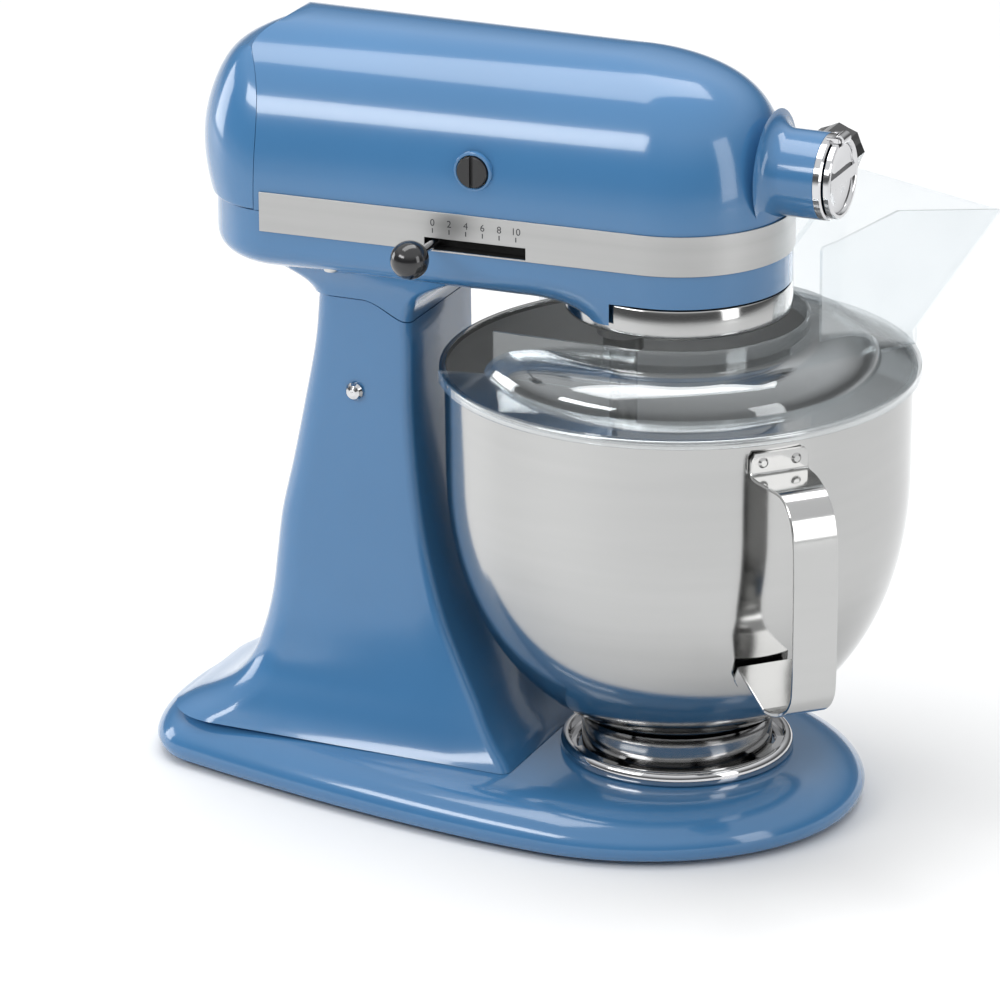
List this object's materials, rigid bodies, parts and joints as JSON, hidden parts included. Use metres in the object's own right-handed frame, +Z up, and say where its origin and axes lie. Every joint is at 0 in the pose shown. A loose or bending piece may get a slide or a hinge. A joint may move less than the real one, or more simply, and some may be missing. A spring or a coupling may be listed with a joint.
{
  "type": "stand mixer",
  "caption": "Tilt-head kitchen stand mixer in blue enamel with a polished steel bowl, clear pouring shield, power hub and planetary drive.",
  "frame": {"origin": "the point on the counter under the axis that the bowl, its clamp and the planetary drive share", "axes": "+X from the column towards the attachment hub, +Y away from the speed lever, +Z up; the head is down and the bowl locked at rest"},
  "size_m": [0.368, 0.2587, 0.357],
  "materials": {
    "enamel": "glossy blue enamel",
    "rubber": "matte",
    "steel": "satin",
    "polished_steel": "polished",
    "chrome": "polished",
    "silver_trim": "fine brushed",
    "cast_satin": "satin cast",
    "black_knob": "gloss",
    "black_plastic": "matte",
    "white_plastic": "matte",
    "carbon": "matte, stands in for pressed carbon",
    "brass": "machined",
    "bronze": "machined bronze",
    "winding": "varnished copper and laminations",
    "dark_iron": "machined",
    "board": "satin",
    "clear_plastic": "clear moulded plastic"
  },
  "bodies": {
    "stand": {"base_plate": "enamel", "pedestal": "enamel", "rubber_feet": "rubber", "pedestal_screws": "steel", "bowl_clamp_plate": "chrome", "clamp_plate_screws": "steel", "hinge_pin": "steel", "hinge_set_screw": "dark_iron"},
    "lock": {"lock_shaft": "chrome", "lock_lever": "chrome", "lock_knob": "black_knob"},
    "lock_pin": {"lock_pin": "steel"},
    "head": {"motor_housing": "enamel", "rear_cover": "enamel", "rear_cover_screw": "chrome", "gearcase_lower": "enamel", "gearcase_screws": "steel", "trim_band": "silver_trim", "brush_holders": "brass", "carbon_brushes": "carbon", "brush_caps": "black_plastic", "motor_stator": "winding", "bearing_bracket": "cast_satin", "motor_bearings": "bronze", "control_board": "board", "cord_grommet": "rubber", "shaft_bushes": "bronze", "ring_gear": "dark_iron", "hub_ring": "chrome", "hub_bearing": "bronze", "hub_cover_pin": "chrome"},
    "armature": {"armature": "winding", "commutator": "brass", "cooling_fan": "white_plastic"},
    "worm_wheel": {"worm_wheel": "bronze", "worm_wheel_shaft": "steel"},
    "planetary": {"centre_gear": "dark_iron", "centre_shaft": "steel", "planetary_carrier": "cast_satin", "drip_ring": "polished_steel"},
    "beater": {"planet_pinion": "dark_iron", "beater_shaft": "polished_steel", "beater_pin": "polished_steel"},
    "hub_drive": {"hub_drive_shaft": "steel", "hub_bevel_pinion": "dark_iron"},
    "hub_cover": {"hub_cover": "chrome"},
    "attachment_knob": {"attachment_knob": "black_knob"},
    "speed_lever": {"speed_lever": "chrome", "speed_knob": "black_knob", "speed_plate": "steel"},
    "bowl": {"bowl_shell": "polished_steel", "bowl_foot": "polished_steel", "bowl_handle": "polished_steel", "handle_rivets": "polished_steel"},
    "shield": {"pouring_shield": "clear_plastic"}
  },
  "joints": [
    {"name": "head_tilt", "type": "hinge", "parent": "stand", "child": "head", "pos_m": [-0.166, 0, 0.247], "axis": [0, -1, 0], "range_deg": [0, 50]},
    {"name": "lock_turn", "type": "hinge", "parent": "stand", "child": "lock", "pos_m": [-0.144, 0, 0.19], "axis": [0, 1, 0], "range_deg": [0, 60]},
    {"name": "lock_pin_slide", "type": "slide", "parent": "stand", "child": "lock_pin", "axis": [0, 0, 1], "range_m": [0, 0.007]},
    {"name": "armature_spin", "type": "hinge", "parent": "head", "child": "armature", "pos_m": [-0.14, 0, 0.305], "axis": [1, 0, 0], "continuous": true},
    {"name": "worm_wheel_spin", "type": "hinge", "parent": "head", "child": "worm_wheel", "pos_m": [-0.051, 0.02546, 0.3], "axis": [0, 0, 1], "continuous": true},
    {"name": "planetary_spin", "type": "hinge", "parent": "head", "child": "planetary", "pos_m": [0, 0, 0.24], "axis": [0, 0, 1], "continuous": true},
    {"name": "beater_spin", "type": "hinge", "parent": "planetary", "child": "beater", "pos_m": [-0.027, 0, 0.24], "axis": [0, 0, 1], "continuous": true},
    {"name": "hub_drive_spin", "type": "hinge", "parent": "head", "child": "hub_drive", "pos_m": [0.04, 0, 0.3075], "axis": [1, 0, 0], "continuous": true},
    {"name": "hub_cover_flip", "type": "hinge", "parent": "head", "child": "hub_cover", "pos_m": [0.0776, 0, 0.3257], "axis": [0, -1, 0], "range_deg": [0, 95]},
    {"name": "attachment_knob_turn", "type": "hinge", "parent": "head", "child": "attachment_knob", "pos_m": [0.061, 0.03, 0.3075], "axis": [0, 1, 0], "continuous": true},
    {"name": "speed_lever_slide", "type": "slide", "parent": "head", "child": "speed_lever", "axis": [1, 0, 0], "range_m": [0, 0.04]},
    {"name": "bowl_twist", "type": "hinge", "parent": "stand", "child": "bowl", "pos_m": [0, 0, 0.03], "axis": [0, 0, 1], "range_deg": [0, 30]},
    {"name": "shield_lift", "type": "slide", "parent": "bowl", "child": "shield", "axis": [0, 0, 1], "range_m": [0, 0.007]}
  ],
  "couplings": [
    {"joint": "lock_pin_slide", "follows": "lock_turn", "m_per_rad": 0.00668},
    {"joint": "worm_wheel_spin", "follows": "armature_spin", "ratio": 0.125},
    {"joint": "planetary_spin", "follows": "armature_spin", "ratio": -0.038793},
    {"joint": "beater_spin", "follows": "armature_spin", "ratio": 0.12608},
    {"joint": "hub_drive_spin", "follows": "armature_spin", "ratio": -0.05819}
  ]
}
